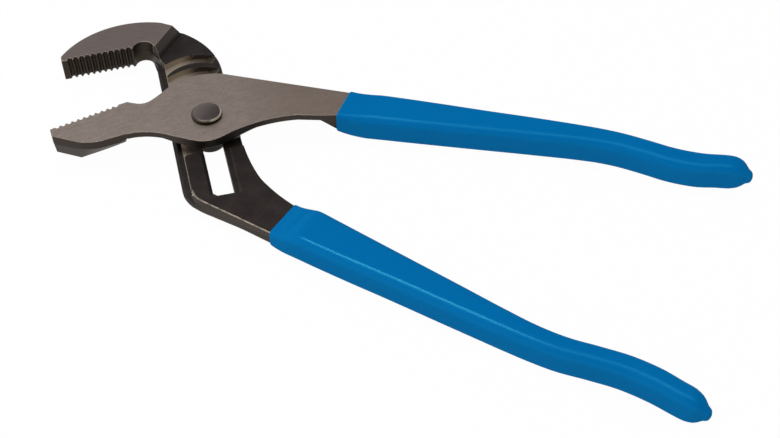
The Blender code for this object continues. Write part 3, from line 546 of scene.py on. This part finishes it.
def darkForging():
    finish = Finish("darkForging")
    place = finish.place()
    x, _, z = finish.split(place)
    upward = finish.upward()
    cloud = finish.noise(place, 150.0, 4.0)
    speck = finish.noise(place, 2300.0, 3.0, 0.6)
    grain = finish.noise(finish.stretched(place, (150, 2600, 150), forging["grainTurn"]), 1.0, 2.0)
    flat = upward.between(0.8, 0.97)
    skin = finish.blend((cloud * 0.5 + speck * 0.5).between(0.35, 0.65),
                        forging["scaleDark"], forging["scale"])
    # painted shade in the crease where the facet meets the neck
    fillet = z.rising(forging["filletFoot"]) * (1 - z.rising(forging["filletTop"]))
    skin = finish.blend(fillet * 0.85, skin, forging["fillet"])
    facet = z.rising(forging["facetFoot"]) * upward.between(0.15, 0.3) * (1 - flat)
    wall = 1 - upward.between(0.15, 0.75)
    colour = finish.blend(wall * (0.75 + 0.25 * cloud), skin, forging["wall"])
    colour = finish.blend(facet * (0.7 + 0.3 * speck), colour, forging["facet"])
    face = flat * z.rising(forging["jawHeights"])
    jaw = finish.blend((grain * 0.5 + cloud * 0.2 + speck * 0.3).between(0.35, 0.65),
                       forging["jawFaceDark"], forging["jawFace"])
    colour = finish.blend(face, colour, jaw)
    # painted reflection: the machined floors and walls are bright at the left and fade darker towards the
    # right
    paintedSheenFade = x.rising(forging["cutDarkens"]) * (0.8 + 0.2 * cloud)
    cut = finish.blend(paintedSheenFade, forging["machined"], forging["machinedEnd"])
    cut = finish.blend(x.rising(forging["cutFades"]) * forging["cutFadeShare"], cut, forging["wall"])
    machined = finish.painted("machined")
    colour = finish.blend(machined, colour, cut)
    teeth = finish.painted("toothShade")
    colour = finish.blend(teeth * (0.8 + 0.2 * speck), colour, forging["toothShade"])
    rubbed = finish.noise(place, 420.0, 3.0).between(0.30, 0.52)
    # rubbed bare steel on the broken edges, which also paints their highlights
    colour = finish.blend(finish.painted("wearAndGleam") * (0.35 + 0.65 * rubbed), colour, forging["bare"])
    rough = 0.44 + speck * 0.16 - face * 0.06 - machined * 0.08
    height = speck * (1 - face * 0.8) + grain * face * 0.5
    return finish.surface({"Base Color": colour, "Metallic": 0.85, "Roughness": rough,
                           "Normal": finish.bump(height, 0.28, 0.00003)})


tongueHalf = brokenEdges("tongue_half", "tongueHalf", frontEdge, groundSteel(), steel["wornAndGleamingEdges"], {})
addPiece(tongueHalf, "front_half", "ground_steel", "tongue_half")
grooveHalf = brokenEdges("groove_half", "grooveHalf", backEdge, darkForging(), forging["wornAndGleamingEdges"],
                         {"machined": machinedMark, "toothShade": toothMark})
addPiece(grooveHalf, "back_half", "dark_forging", "groove_half")


# The pivot: (radius, height) in millimetres, from one end of each turned piece to the other
bolt = {
    "profile": [(0, 0.25), (0.35, 0.10), (0.8, 0.02), (2.5, 0.0), (2.75, 0.08), (2.9, 0.3), (2.9, 3.0),
                (3.5, 3.0), (3.5, 14.3), (5.35, 14.3), (5.58, 14.42), (5.65, 14.65), (5.63, 15.22),
                (5.58, 15.34), (5.49, 15.44), (5.18, 15.73), (5.06, 15.81), (4.90, 15.86), (4.0, 15.93),
                (3.0, 16.00), (1.8, 16.06), (0.6, 16.10), (0, 16.10)],
    "top": linear(138, 127, 125),
    "topShaded": linear(98, 90, 88),      # painted shade: the top darkens towards the lower right
    # the side is painted shade, far darker than the top of the same steel
    "side": linear(30, 24, 17),
    # painted highlights: the rounded rim is a bright line, brightest at the right
    "rim": linear(96, 88, 76),
    "rimRight": linear(236, 224, 200),
    "rimHeights": (15.28, 15.38),
    "ringScale": 5.0,
}
nut = {
    "profile": [(3.2, 0.35), (3.45, 0.1), (3.7, 0.0), (5.0, 0.0), (5.35, 0.10), (5.58, 0.32), (5.65, 0.6),
                (5.65, 2.2), (5.5, 2.55), (5.2, 2.7), (3.2, 2.7), (3.2, 0.35)],
    # painted shade: the nut is all dark where it sits under the plate, with a painted highlight on its rim
    "top": linear(44, 39, 36),
    "topShaded": linear(44, 39, 36),
    "side": linear(44, 39, 36),
    "rim": linear(98, 90, 82),
    "rimRight": linear(98, 90, 82),
    "rimHeights": (2.3, 2.6),
    "ringScale": 3.0,
}
turned = {
    "steps": 96,
    "sharpAngle": 35,
}


def turnedPiece(name, profile, material):
    # the profile's points turned about the bolt's axis, and its last ring joined to the first if it is closed
    bm = bmesh.new()
    steps = turned["steps"]
    around = [(math.cos(math.tau * i / steps), math.sin(math.tau * i / steps)) for i in range(steps)]
    closed = profile[0] == profile[-1]
    rings = []
    for radius, height in profile[:-1] if closed else profile:
        points = around if radius else [(0, 0)]
        rings.append([bm.verts.new((radius * x * millimetre, radius * y * millimetre, height * millimetre))
                      for x, y in points])
    for lower, upper in zip(rings, rings[1:] + (rings[:1] if closed else [])):
        for i in range(steps):
            j = (i + 1) % steps
            corners = [lower[i % len(lower)], lower[j % len(lower)],
                       upper[j % len(upper)], upper[i % len(upper)]]
            bm.faces.new(list(dict.fromkeys(corners)))
    bmesh.ops.recalc_face_normals(bm, faces=bm.faces)
    mesh = bpy.data.meshes.new(name)
    bm.to_mesh(mesh)
    bm.free()
    mesh.materials.append(material)
    mesh.shade_smooth()
    mesh.set_sharp_from_angle(angle=math.radians(turned["sharpAngle"]))
    return newObject(name, mesh)


def turnedFinish(name, look):
    finish = Finish(name)
    place = finish.place()
    x, y, z = finish.split(place)
    reach = finish.maths("SQRT", x * x + y * y, 0.0) / millimetre
    rings = finish.noise(finish.joined(reach * look["ringScale"], 0.0, z * 900), 1.0, 3.0)
    cloud = finish.noise(place, 300.0, 3.0)
    flat = finish.maths("ABSOLUTE", finish.upward(), 0.0).between(0.90, 0.97)
    lowerRight = (x * 0.6 - y * 0.8) / millimetre
    # painted shade: the top of each turned piece darkens towards the lower right
    top = finish.blend(lowerRight.between(-5.0, 4.0), look["top"], look["topShaded"])
    colour = finish.blend(flat, look["side"], top)
    # painted highlight along the rim, brightest towards the right
    band = z.rising(look["rimHeights"]) * (1 - flat)
    right = (x * 0.9 - y * 0.45) / millimetre
    rim = finish.blend(right.between(2.0, 5.2), look["rim"], look["rimRight"])
    colour = finish.blend(band * (0.6 + 0.4 * cloud), colour, rim)
    rough = 0.26 + rings * 0.12 + cloud * 0.08
    return finish.surface({"Base Color": colour, "Metallic": 0.95, "Roughness": rough,
                           "Normal": finish.bump(rings, 0.12, 0.00002)})


pivotBolt = turnedPiece("pivotBolt", bolt["profile"], turnedFinish("turnedBolt", bolt))
addPiece(pivotBolt, "pivot", "bolt_steel", "pivot_bolt")
pivotNut = turnedPiece("pivotNut", nut["profile"], turnedFinish("turnedNut", nut))
addPiece(pivotNut, "pivot", "nut_steel", "pivot_nut")


# Each dipped sleeve follows its handle. All lengths are in millimetres, and a station is
# (place along the handle, place off its axis, width of the bar inside).
vinyl = {
    "blue": (0.0003, 0.152, 0.420, 1.0),
    "deep": (0.0003, 0.146, 0.405, 1.0),
    "gleam": (0.12, 0.86, 1.0, 1.0),
    "glossShare": 0.021,      # how much of the gleaming layer shows
    "wall": 1.2,
    "lip": 0.5,               # the coat is thinner where the dipping started
    "lipRun": 11.5,
    "gap": 0.3,
    "boreGap": 0.2,
    "barHalf": 4.5,
    "barCorner": 2.2,
    "barEdge": 0.9,
    "bareRun": 0.3,
    "endLength": 9.8,
    "aroundPoints": 64,
    "squareness": 5.0,        # 1 gives oval sections, and more gives straighter sides
    "railSteps": 90,
    "boreSteps": 40,
    "sharpAngle": 70,
    # the lip's rounding, as (past the mouth, inside the lip's outer surface)
    "lipShape": [(0.34, 0.04), (0.14, 0.15), (0.03, 0.32), (0.0, 0.5)],
    # the closed end, as (share of its length, share of the sleeve's size)
    "endShape": [(0.12, 1.00), (0.28, 0.985), (0.42, 0.93), (0.55, 0.85), (0.66, 0.72), (0.74, 0.59),
                 (0.81, 0.47), (0.88, 0.41), (0.94, 0.34), (0.98, 0.22), (1.00, 0.08), (1.003, 0.01)],
}
openAngle = 13.5              # the front half stands open by this in the photo
lowerGrip = {
    "angle": -47.0,
    "cut": 44.0,
    "mouth": 51.2,
    "drip": 0.0,
    "rise": 13.0,
    "quickness": 0.0,         # 1 where the coat swells right from its mouth
    "bare": (3.0, 8.5),
    "stations": [(41.2, -22.6, 16.0), (51.2, -23.8, 15.2), (60.0, -25.0, 14.6), (80.0, -25.3, 13.0),
                 (100.0, -25.3, 11.0), (120.0, -25.4, 9.2), (140.0, -25.5, 7.3), (150.0, -25.3, 6.5),
                 (160.0, -24.3, 6.2), (170.0, -22.0, 6.0), (180.0, -20.0, 5.9), (190.0, -19.5, 5.8),
                 (199.0, -20.2, 5.4)],
}
upperGrip = {
    "angle": -42.5 + openAngle,
    "cut": 41.2 + openAngle,
    "mouth": 47.4,
    "drip": -2.1,
    "rise": 12.5,
    "quickness": 1.0,
    "bare": (6.8, 14.0),
    "stations": [(37.4, 18.4, 14.2), (47.4, 18.7, 13.6), (60.0, 20.5, 13.4), (80.0, 21.9, 12.2),
                 (100.0, 23.2, 10.6), (120.0, 24.6, 9.1), (140.0, 25.6, 7.5), (150.0, 25.3, 7.0),
                 (160.0, 23.8, 6.9), (170.0, 22.0, 7.0), (180.0, 21.8, 7.0), (189.0, 23.3, 6.6)],
}


def stationAt(stations, along):
    # a smooth curve through the stations
    last = len(stations) - 2
    k = 0
    while k < last and stations[k + 1][0] < along:
        k += 1
    part = min(max((along - stations[k][0]) / (stations[k + 1][0] - stations[k][0]), 0.0), 1.0)
    around = [stations[i] for i in (max(k - 1, 0), k, k + 1, min(k + 2, last + 1))]
    values = []
    for before, start, end, after in list(zip(*around))[1:]:
        values.append(0.5 * (2 * start + (end - before) * part
                             + (2 * before - 5 * start + 4 * end - after) * part * part
                             + (3 * start - before - 3 * end + after) * part ** 3))
    return values


def handlePlace(grip, along, offset):
    turn = math.radians(grip["angle"])
    return (along * math.cos(turn) - offset * math.sin(turn),
            along * math.sin(turn) + offset * math.cos(turn))


def sleeveSection(grip, along, grown):
    offset, width = stationAt(grip["stations"], along)
    part = min(max((along - grip["mouth"] - vinyl["bareRun"]) / grip["rise"], 0.0), 1.0)
    part = mix(part * part * (3 - 2 * part), part * (2 - part), grip["quickness"])
    middle = (levels["neckBack"] + levels["face"]) / 2
    low = mix(grip["bare"][0], middle - vinyl["barHalf"], part) - grown
    high = mix(grip["bare"][1], middle + vinyl["barHalf"], part) + grown
    halfWidth, halfHeight = width / 2 + grown, (high - low) / 2
    corner = max(mix(vinyl["barEdge"], vinyl["barCorner"], part) + grown, vinyl["barEdge"])
    corner = min(corner, halfWidth * 0.95, halfHeight * 0.96)
    return (*handlePlace(grip, along, offset), (low + high) / 2), (halfWidth, halfHeight, corner)


def sleeveRail(grip):
    # sections from the drip's point over the outside to the mouth, round its lip and down the bore
    mouth, end = grip["mouth"], grip["stations"][-1][0]
    coat = vinyl["gap"] + vinyl["wall"]
    (*_, middle), (half, tall, corner) = sleeveSection(grip, end, coat)
    offset = stationAt(grip["stations"], end)[0]
    slope = (offset - stationAt(grip["stations"], end - 2)[0]) / 2
    outside = []
    for share, size in reversed(vinyl["endShape"]):
        past = vinyl["endLength"] * share
        aside = offset + slope * past + grip["drip"] * share * share
        radius = mix(corner, half, share) * size
        outside.append(((*handlePlace(grip, end + past, aside), middle),
                        (half * size, tall * size, min(radius, half * size * 0.95, tall * size * 0.96))))
    for i in range(vinyl["railSteps"] + 1):
        along = mix(end, mouth + 0.6, i / vinyl["railSteps"])
        thin = (vinyl["wall"] - vinyl["lip"]) * max(0.0, 1 - (along - mouth) / vinyl["lipRun"])
        outside.append(sleeveSection(grip, along, coat - thin))
    lip = vinyl["gap"] + vinyl["lip"]
    for past, less in vinyl["lipShape"]:
        outside.append(sleeveSection(grip, mouth + past, lip - less))
    inside = [sleeveSection(grip, mouth + past, 0.06) for past in (0.02, 0.3)]
    for i in range(vinyl["boreSteps"] + 1):
        along = mix(mouth + 1.0, end + 0.3, i / vinyl["boreSteps"])
        inside.append(sleeveSection(grip, along, vinyl["boreGap"]))
    return outside + inside


def sleeveTree():
    group = bpy.data.node_groups.new("dippedSleeve", "GeometryNodeTree")
    for name, kind in (("Rail", "NodeSocketGeometry"), ("Points Around", "NodeSocketInt"),
                       ("Squareness", "NodeSocketFloat"), ("Across X", "NodeSocketFloat"),
                       ("Across Y", "NodeSocketFloat"), ("Finish", "NodeSocketMaterial")):
        group.interface.new_socket(name, in_out="INPUT", socket_type=kind)
    group.interface.new_socket("Sleeve", in_out="OUTPUT", socket_type="NodeSocketGeometry")
    book = NodeBook(group)
    given = {socket.name: Value(book, socket) for socket in group.nodes.new("NodeGroupInput").outputs}
    rail = book.node("GeometryNodeMeshToCurve", None, {"Mesh": given["Rail"]})
    ring = book.node("GeometryNodeCurvePrimitiveCircle", None, {"Resolution": given["Points Around"]})
    ring = book.node("GeometryNodeStoreNamedAttribute", {"data_type": "FLOAT", "domain": "POINT"},
                     {"Geometry": ring, "Name": "turn", "Value": book.node("GeometryNodeSplineParameter")})
    skin = book.node("GeometryNodeCurveToMesh", None,
                     {"Curve": rail, "Profile Curve": ring, "Fill Caps": True})
    turn = book.node("GeometryNodeInputNamedAttribute", {"data_type": "FLOAT"}, {"Name": "turn"}) * math.tau
    # each point of the tube goes to its place on its section's rounded rectangle
    spot = book.node("GeometryNodeInputNamedAttribute", {"data_type": "FLOAT_VECTOR"}, {"Name": "spot"})
    half = book.node("GeometryNodeInputNamedAttribute", {"data_type": "FLOAT_VECTOR"}, {"Name": "half"})
    halfWidth, halfHeight, corner = book.split(half)
    cosine, sine = book.maths("COSINE", turn, 0.0), book.maths("SINE", turn, 0.0)
    square = given["Squareness"]
    across = (halfWidth - corner) * (cosine * square).limited(-1.0, 1.0) + corner * cosine
    upwards = (halfHeight - corner) * (sine * square).limited(-1.0, 1.0) + corner * sine
    shift = book.joined(across * given["Across X"], across * given["Across Y"], upwards)
    place = book.node("ShaderNodeVectorMath", {"operation": "ADD"}, {0: spot, 1: shift})
    skin = book.node("GeometryNodeSetPosition", None, {"Geometry": skin, "Position": place})
    skin = book.node("GeometryNodeRealizeInstances", None, {"Geometry": skin})
    skin = book.node("GeometryNodeSetMaterial", None, {"Geometry": skin, "Material": given["Finish"]})
    out = group.nodes.new("NodeGroupOutput")
    group.links.new(skin.socket, out.inputs[0])
    return group


def sleevePiece(name, grip, tree, material):
    sections = sleeveRail(grip)
    rail = bpy.data.meshes.new(name + "Rail")
    # the rail itself is a plain row of points, and each carries its section's place and sizes
    rail.from_pydata([(i * millimetre, 0, 0) for i in range(len(sections))],
                     [(i, i + 1) for i in range(len(sections) - 1)], [])
    for key, column in (("spot", 0), ("half", 1)):
        attribute = rail.attributes.new(key, "FLOAT_VECTOR", "POINT")
        for i, section in enumerate(sections):
            attribute.data[i].vector = [part * millimetre for part in section[column]]
    piece = newObject(name, rail)
    modifier = piece.modifiers.new("dippedSleeve", "NODES")
    modifier.node_group = tree
    inputs = {item.name: item.identifier for item in tree.interface.items_tree if item.in_out == "INPUT"}
    cut = math.radians(grip["cut"])
    for key, value in (("Points Around", vinyl["aroundPoints"]), ("Squareness", vinyl["squareness"]),
                       ("Across X", math.cos(cut)), ("Across Y", math.sin(cut)), ("Finish", material)):
        modifier[inputs[key]] = value
    finished = evaluated(piece)
    piece.data = finished
    bm = bmesh.new()
    bm.from_mesh(finished)
    if bm.calc_volume(signed=True) < 0:
        bmesh.ops.reverse_faces(bm, faces=bm.faces)
    bm.to_mesh(finished)
    bm.free()
    finished.shade_smooth()
    finished.set_sharp_from_angle(angle=math.radians(vinyl["sharpAngle"]))
    return piece


def dippedVinyl():
    finish = Finish("dippedVinyl")
    place = finish.place()
    slow = finish.noise(place, 45.0, 2.0)
    ripple = finish.noise(place, 230.0, 2.0)
    colour = finish.blend(slow.between(0.3, 0.7), vinyl["deep"], vinyl["blue"])
    rough = 0.15 + ripple * 0.08
    height = finish.bump(slow * 0.7 + ripple * 0.3, 0.10, 0.0002)
    plain = {"Base Color": colour, "Roughness": rough, "Normal": height, "Specular IOR Level": 0.0}
    gloss = {"Base Color": vinyl["gleam"], "Metallic": 1.0, "Roughness": rough, "Normal": height}
    return finish.surface(plain, gloss, vinyl["glossShare"])


gripTree = sleeveTree()
gripVinyl = dippedVinyl()
addPiece(sleevePiece("lowerGrip", lowerGrip, gripTree, gripVinyl), "back_half", "grip_vinyl", "lower_grip")
addPiece(sleevePiece("upperGrip", upperGrip, gripTree, gripVinyl), "front_half", "grip_vinyl", "upper_grip")
